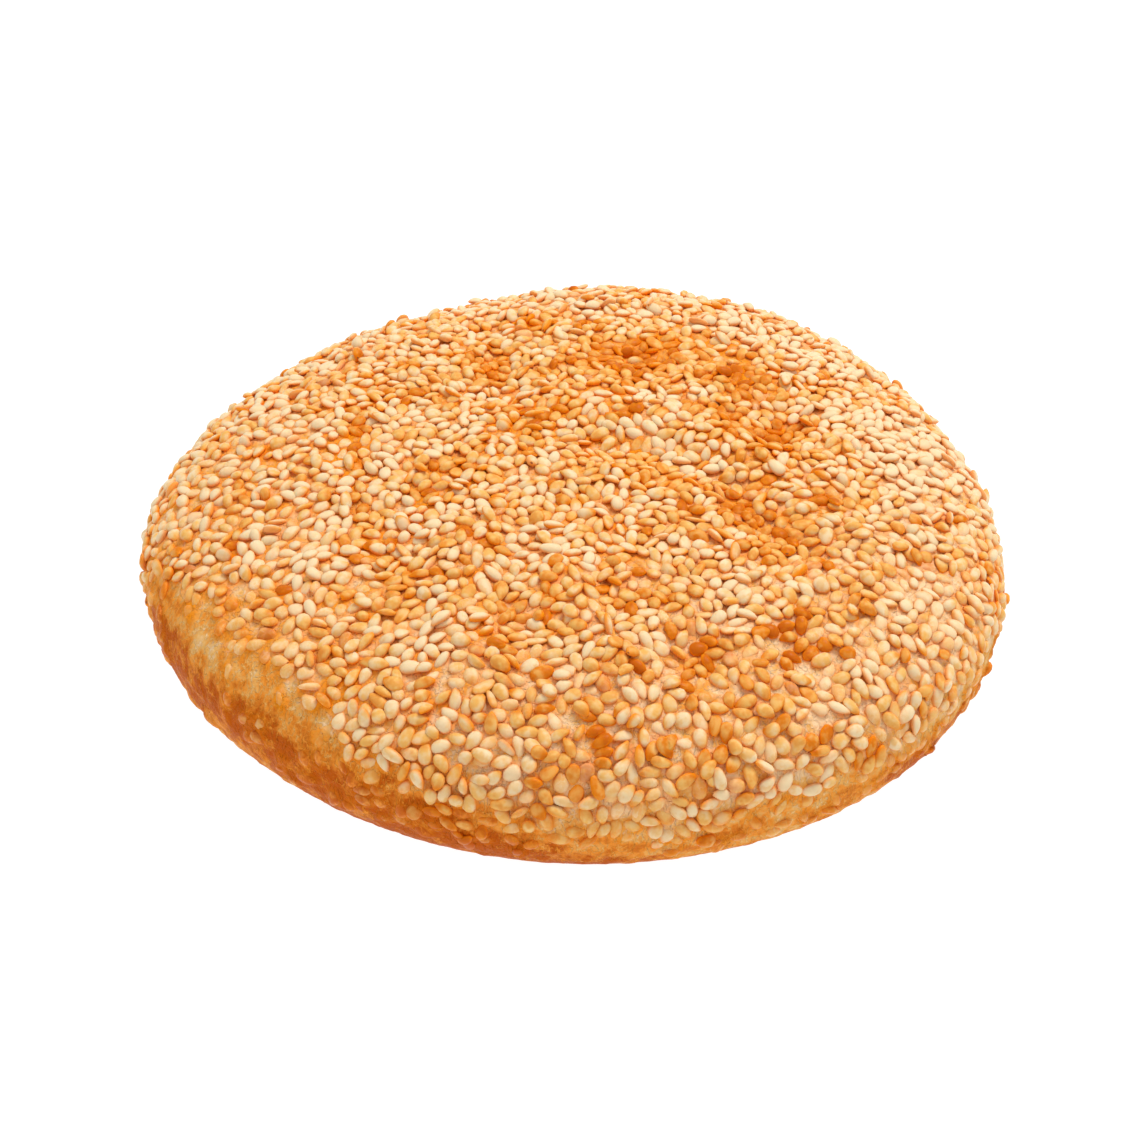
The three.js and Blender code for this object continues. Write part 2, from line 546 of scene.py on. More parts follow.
class Studio(bpy.types.PropertyGroup):
    elevation: FloatProperty(
        name="Camera Elevation",
        description="Angle of the camera over the floor",
        default=math.radians(36.1),
        subtype="ANGLE",
    )
    distance: length_property(
        "Camera Distance", "From the camera to the middle of the loaf", 0.355
    )
    focal_px: FloatProperty(
        name="Focal Length", description="Focal length in pixels of the picture", default=2063
    )
    key_power: FloatProperty(
        name="Key Power", description="Power of the large light overhead, in watts", default=4.35
    )
    fill_strength: FloatProperty(
        name="Fill Strength", description="Strength of the white room around", default=0.58
    )
    floor_colour: colour_property("Floor", "The pale floor", (0.15, 0.15, 0.15))
    floor_glow: FloatProperty(
        name="Floor Glow", description="Light that the floor gives off itself", default=0.97
    )


# ---- Loaf ----


class SESAME_OT_loaf(bpy.types.Operator):
    """Raise the loaf from its base ring, even out its mesh and press in the dents of its top"""

    bl_idname = "sesame.loaf"
    bl_label = "Loaf"

    def execute(self, context):
        loaf = context.scene.sesame_loaf
        section = section_points(loaf, SECTION_STEPS)
        deselect_all()
        bpy.ops.mesh.primitive_circle_add(
            vertices=OUTLINE_CORNERS, radius=loaf.base_radius, fill_type="NGON"
        )
        crust = context.object
        crust.name = crust.data.name = "crust"
        self.raise_side(section[::-1])
        apply_modifier(crust, "REMESH", mode="VOXEL", voxel_size=loaf.mesh_step)
        apply_modifier(crust, "SMOOTH", factor=0.5, iterations=4)
        self.shape_top(crust, loaf)
        bpy.ops.object.shade_smooth()
        if len(crust.data.polygons) < 1000:
            raise RuntimeError("the loaf could not be modelled")
        return {"FINISHED"}

    def raise_side(self, section):
        """Extrudes the base ring up the side and over the top, where it closes."""
        bpy.ops.object.mode_set(mode="EDIT")
        bpy.ops.mesh.select_all(action="SELECT")
        for (radius, height), (next_radius, next_height) in zip(section, section[1:]):
            shrink = max(next_radius / radius, 1e-4)
            bpy.ops.mesh.extrude_region_move(
                TRANSFORM_OT_translate={"value": (0, 0, next_height - height)}
            )
            bpy.ops.transform.resize(
                value=(shrink, shrink, 1), center_override=(0, 0, next_height)
            )
        face_outwards()

    def shape_top(self, crust, loaf):
        """Gives the loaf its uneven outline and the dents, creases and ridges of its top."""
        places = corners_of(crust)
        angle = np.arctan2(places[:, 1], places[:, 0])
        places[:, :2] *= outline_factor(angle, loaf.radius)[:, None]
        on_top = smoothstep(places[:, 2], loaf.widest_height, loaf.height - 4 * MM)
        places[:, 2] += on_top * relief_at(places[:, 0], places[:, 1])
        places[:, 2] = np.maximum(places[:, 2], 0)
        move_corners(crust, places)


# ---- Seeds ----

# Shapes that the seeds come in. Each is a list of rings from the blunt end to the point: share of
# the length, width, thickness, and how far the ring is shifted up and to the side, all as shares
# of the seed's own.
SEED_SHAPES = {
    "seed_shape_bent": (
        (0.06, 0.5, 0.52, 0, 0.04),
        (0.2, 0.84, 0.86, 0.03, 0.03),
        (0.4, 0.98, 0.98, 0.05, 0),
        (0.61, 0.9, 0.92, 0.04, -0.02),
        (0.8, 0.66, 0.7, 0, 0),
        (0.93, 0.36, 0.42, -0.05, 0.06),
    ),
    "seed_shape_drop": (
        (0.06, 0.54, 0.55, 0, 0),
        (0.2, 0.9, 0.9, 0.02, 0),
        (0.4, 1.02, 1, 0.03, 0),
        (0.61, 0.92, 0.92, 0.02, 0),
        (0.8, 0.66, 0.7, 0, -0.02),
        (0.93, 0.34, 0.4, -0.03, -0.03),
    ),
    "seed_shape_flat": (
        (0.05, 0.58, 0.42, 0, 0),
        (0.19, 0.96, 0.62, 0, 0),
        (0.4, 1.08, 0.66, 0, 0.02),
        (0.61, 0.98, 0.64, 0.02, 0.02),
        (0.8, 0.72, 0.54, 0.02, 0),
        (0.93, 0.4, 0.36, 0, -0.02),
    ),
    "seed_shape_plump": (
        (0.05, 0.58, 0.66, 0.02, 0),
        (0.18, 0.94, 1.02, 0.05, -0.02),
        (0.38, 1.06, 1.14, 0.06, -0.02),
        (0.6, 0.98, 1.04, 0.04, 0),
        (0.8, 0.78, 0.8, 0, 0.02),
        (0.94, 0.44, 0.46, -0.03, 0.02),
    ),
    "seed_shape_slender": (
        (0.07, 0.44, 0.5, -0.05, -0.03),
        (0.23, 0.78, 0.84, 0.02, -0.02),
        (0.43, 0.9, 0.96, 0.07, 0),
        (0.63, 0.8, 0.86, 0.07, 0.02),
        (0.81, 0.56, 0.6, 0.02, 0),
        (0.94, 0.28, 0.34, -0.05, -0.05),
    ),
}
SHAPE_CHANCES = (0.25, 0.3, 0.1, 0.13, 0.22)
SEED_SEGMENTS = 8
# Share of the seeds with a dark dot at the point.
SCARRED_SHARE = 0.25

# Discs that stand for a seed's outline while the seeds push each other apart: place along the
# seed from its middle as a share of its length, and radius as a share of its width.
OUTLINE_DISCS = ((-0.2, 0.5), (0.08, 0.46), (0.34, 0.26))
# How close two such discs may lie as a share of both radii, how much of an overlap one step
# takes away, and the longest move in metres and turn in radians of one step.
CLOSENESS = 0.86
PUSH_SHARE = 0.22
LONGEST_PUSH = 0.3 * MM
LARGEST_TURN = 0.35

# Places of a seed's underside that feel what it lies on: shares of its half length and width.
FEELERS = np.array(
    [(0, 0)]
    + [(0.8, 0), (-0.8, 0), (0, 0.8), (0, -0.8)]
    + [(0.5, 0.5), (0.5, -0.5), (-0.5, 0.5), (-0.5, -0.5)]
)
# How seeds tilt: random spread in degrees, the share that stands more on edge, how much more these
# roll, how far a seed follows the slope under it, and the steepest pitch and roll in radians.
TILT_SPREAD = 11
EDGE_SHARE, EDGE_FACTOR = 0.12, 4
SLOPE_SHARE = 0.9
STEEPEST_PITCH, STEEPEST_ROLL = 0.6, 1.1

# Kinds of seed, in order of how far they are toasted: piece, slot of the record, the toast up to
# which a seed is of this kind.
SEED_KINDS = (
    ("seeds_pale", "seed_pale", 0.28),
    ("seeds_golden", "seed_golden", 0.6),
    ("seeds_toasted", "seed_toasted", math.inf),
)


def model_seed(name, rings, sizes):
    """Models one seed lying along Y with its point towards +Y, at its mean size."""
    deselect_all()
    bpy.ops.mesh.primitive_uv_sphere_add(
        segments=SEED_SEGMENTS,
        ring_count=len(rings) + 1,
        radius=0.5,
        rotation=(math.radians(-90), 0, 0),
    )
    bpy.ops.object.transform_apply(location=False, rotation=True, scale=False)
    seed = bpy.context.object
    seed.name = seed.data.name = name
    heights = corners_of(seed)[:, 1]
    for number, (share, width, thickness, up, sideways) in enumerate(rings, 1):
        ring_angle = math.pi * number / (len(rings) + 1)
        ring_height = -0.5 * math.cos(ring_angle)
        ring_radius = 0.5 * math.sin(ring_angle)
        select_corners(seed, np.abs(heights - ring_height) < 1e-3)
        bpy.ops.transform.resize(
            value=(0.5 * width / ring_radius, 1, 0.5 * thickness / ring_radius),
            center_override=(0, ring_height, 0),
        )
        bpy.ops.transform.translate(value=(sideways, share - 0.5 - ring_height, up))
        bpy.ops.object.mode_set(mode="OBJECT")
    shaped = corners_of(seed)
    store(seed, "along", shaped[:, 1] + 0.5)
    store(seed, "crown", (2 * shaped[:, 2]).clip(-1, 1))
    bpy.ops.object.mode_set(mode="EDIT")
    bpy.ops.mesh.select_all(action="SELECT")
    bpy.ops.transform.resize(
        value=(sizes.width, sizes.length, sizes.thickness), center_override=(0, 0, 0)
    )
    face_outwards()
    bpy.ops.object.shade_smooth()
    return seed


def swung(vectors, others, angles):
    """Vectors swung by angles towards others that are square to them."""
    return vectors * np.cos(angles)[:, None] + others * np.sin(angles)[:, None]


def unit(vectors):
    """Vectors at a length of 1."""
    return vectors / np.maximum(np.linalg.norm(vectors, axis=1), 1e-12)[:, None]


def dots(first, second):
    """The dot product of each vector with its partner."""
    return np.einsum("ij,ij->i", first, second)


class SeedLayout:
    """Where the seeds lie on the crust: place, outward normal, direction of the point, size."""

    def __init__(self, crust, loaf, sizes):
        self.loaf = loaf
        self.sizes = sizes
        self.random = np.random.default_rng(sizes.draw)
        self.surface = BVHTree.FromPolygons(
            [v.co for v in crust.data.vertices], [p.vertices for p in crust.data.polygons]
        )
        self.spread_out()
        count = len(self.place)
        tangent = unit(np.cross(self.normal, (1.0, 0.3, 0.1)))
        turns = self.random.uniform(0, 2 * math.pi, count)
        self.point = swung(tangent, np.cross(self.normal, tangent), turns)
        self.scale = 1 + sizes.size_spread * self.random.standard_normal((count, 3)).clip(-2, 2)
        for step in range(sizes.loosening):
            self.push_apart(step)
        self.settle()

    def lowest_at(self, angle):
        """Height of the lowest seeds on the side in a direction."""
        lowest = np.full(len(angle), self.sizes.lowest)
        for middle, reach, height in BARE_BANDS:
            bare = np.exp(-((turn_from(middle, np.degrees(angle)) / reach) ** 4))
            lowest = np.maximum(lowest, lowest + (height * MM - lowest) * bare)
        return lowest

    def spread_out(self):
        """Even first places on the top and side by a golden-angle spiral, fewer down the side."""
        rings = section_points(self.loaf, 6 * SECTION_STEPS)
        radius, height = np.array(rings).T
        bands = np.hypot(np.diff(radius), np.diff(height)) * (radius[1:] + radius[:-1]) * math.pi
        area = np.concatenate([[0], np.cumsum(bands)])
        count = int(area[-1] / self.sizes.spacing**2)
        share = (np.arange(count) + 0.5) / count * area[-1]
        angle = np.arange(count) * GOLDEN_ANGLE
        distance = np.interp(share, area, radius) * outline_factor(angle, self.loaf.radius)
        level = np.interp(share, area, height)
        lowest = self.lowest_at(angle)
        full = np.maximum(self.sizes.thins_below, lowest + 6 * MM)
        chance = smoothstep(level, lowest - 1 * MM, full)
        # Strays are fewer in the bare bands and just beside them.
        bareness = smoothstep(self.lowest_at(angle + math.radians(12)), 7 * MM, 20 * MM)
        strays = self.sizes.strays * (1 - 0.6 * bareness)
        chance = np.maximum(chance, strays * smoothstep(level, 4 * MM, 9 * MM))
        chance *= 1 - (1 - self.sizes.rim_share) * smoothstep(distance, 42 * MM, 58 * MM)
        keep = self.random.uniform(0, 1, count) < chance
        angle, distance, level = angle[keep], distance[keep], level[keep]
        places = np.stack([distance * np.cos(angle), distance * np.sin(angle), level], 1)
        places += self.random.normal(0, 0.55 * MM, places.shape)
        self.loose = self.random.uniform(0, 1, len(places)) < self.sizes.loose * smoothstep(
            level, lowest[keep], lowest[keep] + 8 * MM
        )
        self.onto_crust(places)

    def onto_crust(self, places):
        """Takes places to the nearest point of the crust, with its normal."""
        found = [self.surface.find_nearest(place)[:2] for place in places]
        self.place = np.array([place for place, _ in found])
        self.normal = np.array([normal for _, normal in found])

    def pairs_within(self, reach):
        """Numbers of the seeds on the crust that lie within reach of each other, in pairs."""
        tree = nearby_tree(self.place)
        pairs = [
            (number, other)
            for number, place in enumerate(self.place)
            for _, other, _ in tree.find_range(place, reach)
            if other > number and not (self.loose[number] or self.loose[other])
        ]
        return np.array(pairs).T

    def push_apart(self, step):
        """Moves and turns overlapping seeds a little away from each other."""
        sizes = self.sizes
        inertia = 0.12 * sizes.length**2
        if step % 6 == 0:  # Neighbours stay nearly the same between these steps.
            self.pairs = self.pairs_within(1.5 * sizes.length)
        first, second = self.pairs
        length = sizes.length * self.scale[:, 1]
        width = sizes.width * self.scale[:, 0]
        shift = np.zeros_like(self.place)
        turn = np.zeros(len(self.place))
        for place_a, radius_a in OUTLINE_DISCS:
            arm_a = (place_a * length)[:, None] * self.point
            for place_b, radius_b in OUTLINE_DISCS:
                arm_b = (place_b * length)[:, None] * self.point
                gap = (self.place + arm_a)[first] - (self.place + arm_b)[second]
                distance = np.maximum(np.linalg.norm(gap, axis=1), 1e-6)
                reach = radius_a * width[first] + radius_b * width[second]
                overlap = np.maximum(CLOSENESS * reach - distance, 0)
                push = gap * (PUSH_SHARE * overlap / distance)[:, None]
                for seeds, arm, force in ((first, arm_a, push), (second, arm_b, -push)):
                    torque = dots(np.cross(arm[seeds], force), self.normal[seeds])
                    np.add.at(shift, seeds, force)
                    np.add.at(turn, seeds, torque / inertia)
        size = np.linalg.norm(shift, axis=1)
        shift *= np.minimum(1, LONGEST_PUSH / np.maximum(size, 1e-9))[:, None]
        sideways = np.cross(self.normal, self.point)
        self.onto_crust(self.place + shift)
        self.point = swung(self.point, sideways, np.clip(turn, -LARGEST_TURN, LARGEST_TURN))
        along_normal = dots(self.point, self.normal)[:, None]
        self.point = unit(self.point - along_normal * self.normal)

    def settle(self):
        """Lays the seeds one after another on the crust and on each other."""
        sizes = self.sizes
        count = len(self.place)
        level = self.place[:, 2]
        lowest = self.lowest_at(np.arctan2(self.place[:, 1], self.place[:, 0]))
        low = 1 - smoothstep(level, lowest, np.maximum(lowest + 6 * MM, 15 * MM))
        share = sizes.caught * (1 + 2 * smoothstep(np.hypot(*self.place.T[:2]), 35 * MM, 60 * MM))
        caught = (self.random.uniform(0, 1, count) < share) * self.random.uniform(0.3, 0.9, count)
        self.low = low
        self.covered = np.maximum(low, caught)
        self.covered[self.loose] = 0
        sunk = sizes.sunk + 0.36 * self.covered + self.random.uniform(-0.16, 0.16, count)
        sunk += 0.08 * (1 - smoothstep(level, 12 * MM, 21 * MM))
        half = 0.5 * np.array([sizes.width, sizes.length, sizes.thickness]) * self.scale
        side = np.cross(self.point, self.normal)
        tree = nearby_tree(self.place)
        lift = (1 - 2 * sunk) * half[:, 2]
        pitch = np.zeros(count)
        roll = np.zeros(count)
        laid = np.zeros(count, bool)
        jitter = np.radians(self.random.normal(0, TILT_SPREAD, (count, 2)))
        jitter[self.random.uniform(0, 1, count) < EDGE_SHARE, 1] *= EDGE_FACTOR
        order = self.random.permutation(count)
        for number in order[np.argsort(self.loose[order], kind="stable")]:
            close = tree.find_range(self.place[number], 1.3 * sizes.length)
            near = [other for _, other, _ in close if laid[other]]
            laid[number] = True
            spots = (
                self.place[number]
                + FEELERS[:, :1] * half[number, 1] * self.point[number]
                + FEELERS[:, 1:] * half[number, 0] * side[number]
            )
            ground = np.zeros(len(FEELERS))
            if near:
                offset = spots[:, None] - self.place[near]
                along = np.einsum("ijk,jk->ij", offset, self.point[near])
                across = np.einsum("ijk,jk->ij", offset, side[near])
                inside = 1 - (along / half[near, 1]) ** 2 - (across / half[near, 0]) ** 2
                top = lift[near] + along * np.tan(pitch[near]) + across * np.tan(roll[near])
                top = top + half[near, 2] * np.sqrt(np.maximum(inside, 0))
                ground = np.where(inside > 0, top, 0).max(1)
            for tilt, axis, steepest in ((pitch, 0, STEEPEST_PITCH), (roll, 1, STEEPEST_ROLL)):
                feelers = FEELERS[:, axis]
                slope = (ground * feelers).sum() / (feelers**2).sum() / half[number, 1 - axis]
                angle = np.arctan(SLOPE_SHARE * slope) + jitter[number, axis]
                tilt[number] = np.clip(angle, -steepest, steepest)
            tall = math.hypot(
                half[number, 0] * math.sin(roll[number]), half[number, 2] * math.cos(roll[number])
            )
            # A seed on its edge stands taller, and a loose one rests fully on those under it.
            lift[number] += 0.8 * (tall - half[number, 2])
            rest = 1.0 if self.loose[number] else 0.75
            lift[number] += rest * max(ground.mean(), 0.55 * ground[0])
        self.lift, self.pitch, self.roll, self.half = lift, pitch, roll, half
        self.centre = self.place + lift[:, None] * self.normal
        self.side = side

    def frames(self):
        """Each seed's own axes (across, along, up) after it tilted."""
        along = swung(self.point, self.normal, self.pitch)
        across = swung(self.side, unit(np.cross(self.side, along)), self.roll)
        return np.stack([across, along, np.cross(across, along)], 2)


def euler_angles(frames):
    """The XYZ rotations that turn the world's axes into each frame's."""
    x = np.arctan2(frames[:, 2, 1], frames[:, 2, 2])
    y = np.arcsin(np.clip(-frames[:, 2, 0], -1, 1))
    z = np.arctan2(frames[:, 1, 0], frames[:, 0, 0])
    return np.stack([x, y, z], 1)


def scatter_tree(shapes):
    """Geometry Nodes that put a seed of the collection on every vertex, as its values say."""
    tree = bpy.data.node_groups.new("scatter_seeds", "GeometryNodeTree")
    tree.interface.new_socket("Geometry", in_out="INPUT", socket_type="NodeSocketGeometry")
    tree.interface.new_socket("Geometry", in_out="OUTPUT", socket_type="NodeSocketGeometry")
    nodes = Nodes(tree)

    def kept(name, kind):
        node = nodes.add("GeometryNodeInputNamedAttribute", {"Name": name}, data_type=kind)
        return node.outputs[0]

    collection = nodes.add(
        "GeometryNodeCollectionInfo",
        {"Collection": shapes, "Separate Children": True, "Reset Children": True},
    )
    placed = nodes.add(
        "GeometryNodeInstanceOnPoints",
        {
            "Points": nodes.add("NodeGroupInput").outputs[0],
            "Instance": collection.outputs[0],
            "Pick Instance": True,
            "Instance Index": kept("shape", "INT"),
            "Rotation": kept("turn", "FLOAT_VECTOR"),
            "Scale": kept("size", "FLOAT_VECTOR"),
        },
    )
    joined = nodes.add("GeometryNodeRealizeInstances", {"Geometry": placed.outputs[0]})
    nodes.add("NodeGroupOutput", {0: joined.outputs[0]})
    return tree


class SESAME_OT_seeds(bpy.types.Operator):
    """Model the shapes of seed, lay the seeds on the crust and press the crust round them"""

    bl_idname = "sesame.seeds"
    bl_label = "Seeds"

    def execute(self, context):
        scene = context.scene
        crust = bpy.data.objects.get("crust")
        if crust is None:
            raise RuntimeError("the loaf comes before its seeds")
        layout = SeedLayout(crust, scene.sesame_loaf, scene.sesame_seeds)
        kept = self.values_of_seeds(layout)
        shapes = self.model_shapes(scene)
        tree = scatter_tree(shapes)

        def make_piece(name, chosen):
            mesh = bpy.data.meshes.new(name)
            mesh.vertices.add(int(chosen.sum()))
            piece = bpy.data.objects.new(name, mesh)
            scene.collection.objects.link(piece)
            move_corners(piece, layout.centre[chosen])
            for key, values in kept.items():
                store(piece, key, values[chosen])
            apply_modifier(piece, "NODES", node_group=tree)
            if not piece.data.polygons:
                raise RuntimeError(f"{name} has no seeds")
            finish_piece(piece, seed_material(name, scene.sesame_colours))

        toast = kept["toast"]
        sunk = layout.low > 0.5
        make_piece("seeds_sunk", sunk)
        low = -math.inf
        for name, slot, high in SEED_KINDS:
            make_piece(name, ~sunk & (toast > low) & (toast <= high))
            low = high
        for seed in list(shapes.objects):
            bpy.data.objects.remove(seed)
        bpy.data.collections.remove(shapes)
        self.press_crust(crust, layout, scene.sesame_loaf)
        return {"FINISHED"}

    def values_of_seeds(self, layout):
        """What each seed keeps for the Geometry Nodes that place it and for its material."""
        random = layout.random
        place = layout.place
        count = len(place)
        browned = browned_at(place)
        # Seeds are darker in the top's darker patches: toast, and in the dents painted shade.
        toast = 0.1 + 1.1 * toast_and_shade_at(place)
        toast += 0.45 * clouds_at(place, 4.5 * MM) + 0.15 * random.standard_gamma(1, count)
        toast += 0.22 * layout.low + 0.5 * (browned - 0.35).clip(0)
        toast += 0.04 * paleness_at(place)
        # Seeds that stand higher over the crust are made paler.
        toast -= 0.08 * np.clip(layout.lift / MM, 0, 1.5)
        return {
            "turn": euler_angles(layout.frames()),
            "size": layout.scale,
            "shape": random.choice(len(SEED_SHAPES), count, p=SHAPE_CHANCES),
            "toast": toast,
            "scarred": random.uniform(0, 1, count) < SCARRED_SHARE,
            "tip": random.uniform(0, 1, count),
            "covered": layout.covered,
            "browned": browned,
            # How strongly oil and painted shade colour the seed's lower flanks.
            "oil_and_shade_strength": oil_and_shade_strength_at(place),
        }

    def model_shapes(self, scene):
        """One seed of each shape, in a collection of their own."""
        shapes = bpy.data.collections.new("seed_shapes")
        scene.collection.children.link(shapes)
        for name, rings in SEED_SHAPES.items():
            seed = model_seed(name, rings, scene.sesame_seeds)
            for holder in seed.users_collection:
                holder.objects.unlink(seed)
            shapes.objects.link(seed)
        return shapes

    def press_crust(self, crust, layout, loaf):
        """Lets the dough creep up round the seeds and blister, and keeps the gap to the seeds."""
        places = corners_of(crust)
        normals = corners_of(crust, "normal")
        tree = nearby_tree(places)
        nearness = np.full(len(places), 3.0)
        for number in range(len(layout.place)):
            reach = 1.25 * layout.sizes.length
            near = [n for _, n, _ in tree.find_range(layout.place[number], reach)]
            offset = places[near] - layout.place[number]
            along = offset @ layout.point[number] / layout.half[number, 1]
            across = offset @ layout.side[number] / layout.half[number, 0]
            nearness[near] = np.minimum(nearness[near], np.hypot(along, across))
        gap = smoothstep(nearness, 0.9, 1.8 - 0.6 * paleness_at(places))
        above = smoothstep(places[:, 2], 1 * MM, 3 * MM)
        press = (0.5 - gap) * loaf.puff * above
        low = 1 - smoothstep(places[:, 2], 14 * MM, 24 * MM)
        blisters = clouds_at(places, 2.2 * MM) + 0.5 * clouds_at(places, 1.1 * MM)
        press += blisters * loaf.blistering * above * (0.35 + 0.65 * low)
        move_corners(crust, places + normals * press[:, None])
        store(crust, "gap", gap)


def seed_material(name, colours):
    """Translucent satin seed: ivory to dark brown by its toast, in soft patches, with oil and
    painted orange shade on its lower flanks, warmer where dough covers it, and a dark scar at the
    point of some."""
    nodes = MaterialNodes(name)
    along = nodes.kept("along")
    patches = nodes.range(nodes.clouds(1.6 * MM), 0.36, 0.66, -0.12, 0.16)
    tip = nodes.math("POWER", nodes.kept("tip"), 2.0)
    tip = nodes.math("MULTIPLY", tip, nodes.range(along, 0.4, 1.0, 0.0, 0.45))
    level = nodes.math("ADD", nodes.kept("toast"), patches)
    colour = nodes.ramp(
        nodes.math("ADD", level, tip),
        (0.1, colours.seed_ivory),
        (0.45, colours.seed_golden),
        (0.8, colours.seed_toasted),
        (1.0, colours.seed_dark),
    )
    # Painted shade, with oil: each seed's lower flanks, by its own height, turn to the orange of
    # the crust close round it.
    flank_shade = nodes.range(nodes.kept("crown"), 0.75, -0.05)
    flank_shade = nodes.math("MULTIPLY", flank_shade, nodes.kept("oil_and_shade_strength"))
    flank_shade = nodes.math("MULTIPLY", flank_shade, 0.95)
    colour = nodes.mix(flank_shade, colour, colours.crust_oil_and_shade)
    film = nodes.range(nodes.clouds(1.8 * MM, 3), 0.35, 0.6, 0.35, 0.9)
    film = nodes.math("MULTIPLY", film, nodes.kept("covered"))
    colour = nodes.mix(film, colour, crust_colour(nodes, colours))
    scar = nodes.math("GREATER_THAN", along, 0.97)
    scar = nodes.math("MULTIPLY", scar, nodes.kept("scarred"))
    nodes.surface(
        {
            "Base Color": nodes.mix(scar, colour, colours.scar),
            "Roughness": 0.3,
            "Specular IOR Level": 0.08,
            "Subsurface Weight": 0.35,
            "Normal": nodes.bump(nodes.clouds(0.3 * MM), 0.04 * MM),
            **TRANSLUCENCY,
        }
    )
    return nodes.material


# ---- Crust ----


class SESAME_OT_crust(bpy.types.Operator):
    """Brown the crust where the oven browned it, and give it its blisters and its material"""

    bl_idname = "sesame.crust"
    bl_label = "Crust"

    def execute(self, context):
        crust = bpy.data.objects.get("crust")
        if crust is None or "gap" not in crust.data.attributes:
            raise RuntimeError("the loaf and its seeds come before the crust's finish")
        places = corners_of(crust)
        store(crust, "browned", browned_at(places))
        # How strongly oil and painted shade colour the crust close round the seeds.
        store(crust, "oil_and_shade_strength", oil_and_shade_strength_at(places) - 0.15 * paleness_at(places))
        finish_piece(crust, crust_material(context.scene.sesame_colours))
        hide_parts(BREAD_NODE)
        return {"FINISHED"}


def fibres(nodes):
    """Thin wrinkles that run down the side: 1 in the middle of one, and 0 between them."""
    inputs = {"Vector": nodes.coordinates, "Scale": (1, 1, 0.45)}
    stretched = nodes.add("ShaderNodeMapping", inputs).outputs[0]
    level = nodes.clouds(1.1 * MM, coordinates=stretched)
    away = nodes.math("ABSOLUTE", nodes.math("SUBTRACT", level, 0.5))
    return nodes.range(away, 0.05, 0.0)


def crust_colour(nodes, colours):
    """Colour of the baked crust: cream, golden or brown by how far it is browned, in soft
    blotches, with paler wrinkles."""
    blotches = nodes.range(nodes.clouds(3.5 * MM, 3, 0.55), 0.3, 0.7)
    grain = nodes.range(nodes.clouds(0.7 * MM, 3, 0.6), 0.3, 0.7)
    level = nodes.math("MULTIPLY_ADD", blotches, 0.5, -0.25)
    level = nodes.math("MULTIPLY_ADD", grain, 0.16, level)
    level = nodes.math("MULTIPLY_ADD", fibres(nodes), -0.22, level)
    return nodes.ramp(
        nodes.math("ADD", level, nodes.kept("browned")),
        (0.05, colours.crust_pale),
        (0.35, colours.crust_golden),
        (0.65, colours.crust_baked),
        (1.0, colours.crust_browned),
    )


def crust_material(colours):
    """Slightly translucent crust: orange close to the seeds from oil and painted shade, blistered
    and wrinkled, matt where it is pale and glossier where it is browned."""
    nodes = MaterialNodes("crust")
    browned = nodes.kept("browned")
    # Painted shade, with oil: the crust close round the seeds turns orange, less where it is
    # browned.
    near = nodes.math("SUBTRACT", 1.0, nodes.kept("gap"))
    oil_and_shade = nodes.math("MULTIPLY", near, nodes.kept("oil_and_shade_strength"))
    oil_and_shade = nodes.math("MULTIPLY", oil_and_shade, nodes.range(browned, 0.3, 0.8, 0.95, 0.3))
    normal = nodes.bump(nodes.clouds(1.2 * MM, 4, 0.6), 0.55 * MM)
    normal = nodes.bump(fibres(nodes), 0.12 * MM, normal)
    nodes.surface(
        {
            "Base Color": nodes.mix(oil_and_shade, crust_colour(nodes, colours), colours.crust_oil_and_shade),
            "Roughness": nodes.range(browned, 0.3, 0.8, 0.6, 0.36),
            "Specular IOR Level": 0.015,
            "Subsurface Weight": 0.2,
            "Normal": nodes.bump(nodes.clouds(0.35 * MM, 3), 0.12 * MM, normal),
            **TRANSLUCENCY,
        }
    )
    return nodes.material


# ---- Stage ----


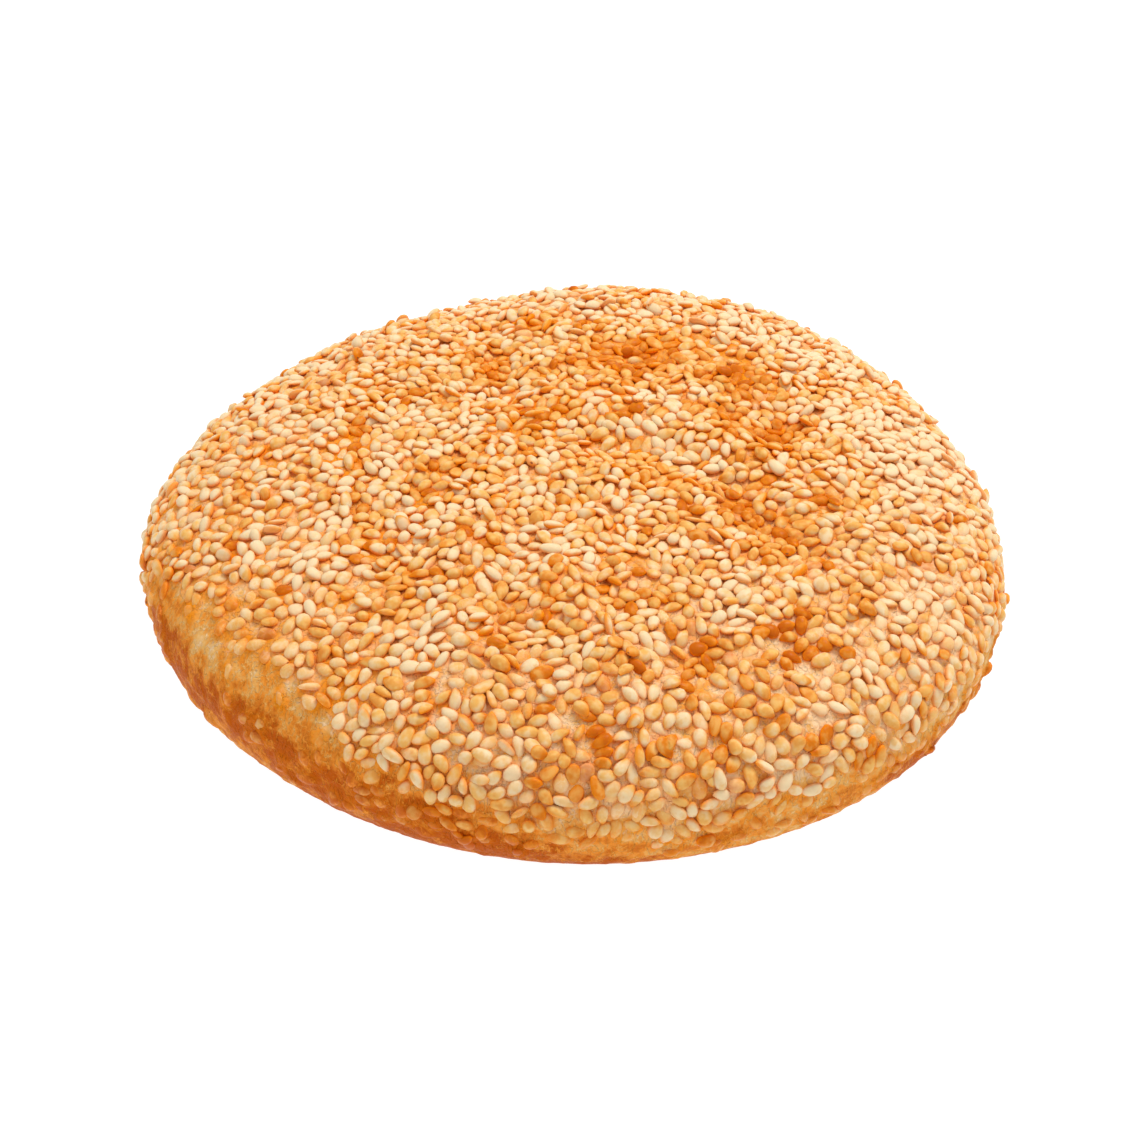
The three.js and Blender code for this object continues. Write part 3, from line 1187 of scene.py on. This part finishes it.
class SESAME_OT_stage(bpy.types.Operator):
    """Set up the pale floor, the soft light and the camera"""

    bl_idname = "sesame.stage"
    bl_label = "Stage"

    def execute(self, context):
        studio = context.scene.sesame_studio
        deselect_all()
        bpy.ops.mesh.primitive_plane_add(size=6, location=(0, 0, 0))
        floor = context.object
        floor.name = floor.data.name = "floor"
        nodes = MaterialNodes("floor")
        nodes.surface(
            {
                "Base Color": (*studio.floor_colour, 1),
                "Roughness": 0.9,
                "Emission Color": (1, 1, 1, 1),
                "Emission Strength": studio.floor_glow,
            }
        )
        floor.data.materials.append(nodes.material)
        self.add_light("key", (0.22, 0.2, 0.75), 0.35, studio.key_power)
        self.add_light("front_fill", (0.45, -0.6, 0.45), 0.6, 0.08 * studio.key_power)
        self.add_light("left_fill", (-0.65, -0.2, 0.4), 0.6, 0.11 * studio.key_power)
        self.add_world(studio.fill_strength)
        self.add_camera(context.scene, studio)
        context.scene.view_settings.view_transform = "Standard"
        return {"FINISHED"}

    def add_light(self, name, place, size, power):
        deselect_all()
        bpy.ops.object.light_add(type="AREA", location=place)
        light = bpy.context.object
        light.name = light.data.name = name
        light.data.shape = "DISK"
        light.data.size = size
        light.data.energy = power
        light.rotation_euler = (LIGHTS_AIM - light.location).to_track_quat("-Z", "Y").to_euler()

    def add_world(self, strength):
        """White room with soft light, which the camera sees as white as the floor."""
        world = bpy.data.worlds.new("white_room")
        world.use_nodes = True
        nodes = Nodes(world.node_tree)
        seen = nodes.add("ShaderNodeLightPath").outputs["Is Camera Ray"]
        inputs = {"Color": (1, 1, 1, 1), "Strength": nodes.range(seen, 0, 1, strength, 1)}
        nodes.set(world.node_tree.nodes["Background"], inputs)
        bpy.context.scene.world = world

    def add_camera(self, scene, studio):
        """Camera of the photograph: the loaf's middle lies a little off the picture's centre."""
        picture = 1140
        loaf_px = Vector((580, 524.5))
        down = Vector((0, math.cos(studio.elevation), -math.sin(studio.elevation)))
        deselect_all()
        bpy.ops.object.camera_add(location=CAMERA_AIM - down * studio.distance)
        camera = bpy.context.object
        camera.name = camera.data.name = "camera"
        camera.rotation_euler = down.to_track_quat("-Z", "Y").to_euler()
        camera.data.sensor_width = 36
        camera.data.lens = 36 * studio.focal_px / picture
        camera.data.shift_x = (picture / 2 - loaf_px.x) / picture
        camera.data.shift_y = (loaf_px.y - picture / 2) / picture
        camera.data.clip_start = 0.01
        scene.camera = camera


# ---- Panel and registration ----


class SESAME_PT_bread(bpy.types.Panel):
    """Sizes, colours and steps of the sesame bread"""

    bl_idname = "SESAME_PT_bread"
    bl_label = "Sesame Bread"
    bl_space_type = "VIEW_3D"
    bl_region_type = "UI"
    bl_category = "Sesame Bread"

    def draw(self, context):
        for name, group in GROUPS.items():
            box = self.layout.box()
            for key in group.__annotations__:
                box.prop(getattr(context.scene, name), key)
        for operator in OPERATORS:
            self.layout.operator(operator.bl_idname)


GROUPS = {
    "sesame_loaf": LoafSizes,
    "sesame_seeds": SeedSizes,
    "sesame_colours": BakeColours,
    "sesame_studio": Studio,
}
OPERATORS = (SESAME_OT_loaf, SESAME_OT_seeds, SESAME_OT_crust, SESAME_OT_stage)


def register():
    for item in (*GROUPS.values(), *OPERATORS, SESAME_PT_bread):
        bpy.utils.register_class(item)
    for name, group in GROUPS.items():
        setattr(bpy.types.Scene, name, PointerProperty(type=group))


def unregister():
    for name in GROUPS:
        delattr(bpy.types.Scene, name)
    for item in reversed((*GROUPS.values(), *OPERATORS, SESAME_PT_bread)):
        bpy.utils.unregister_class(item)


def main():
    register()
    bpy.ops.sesame.loaf()
    bpy.ops.sesame.seeds()
    bpy.ops.sesame.crust()
    bpy.ops.sesame.stage()


if __name__ == "__main__":
    main()
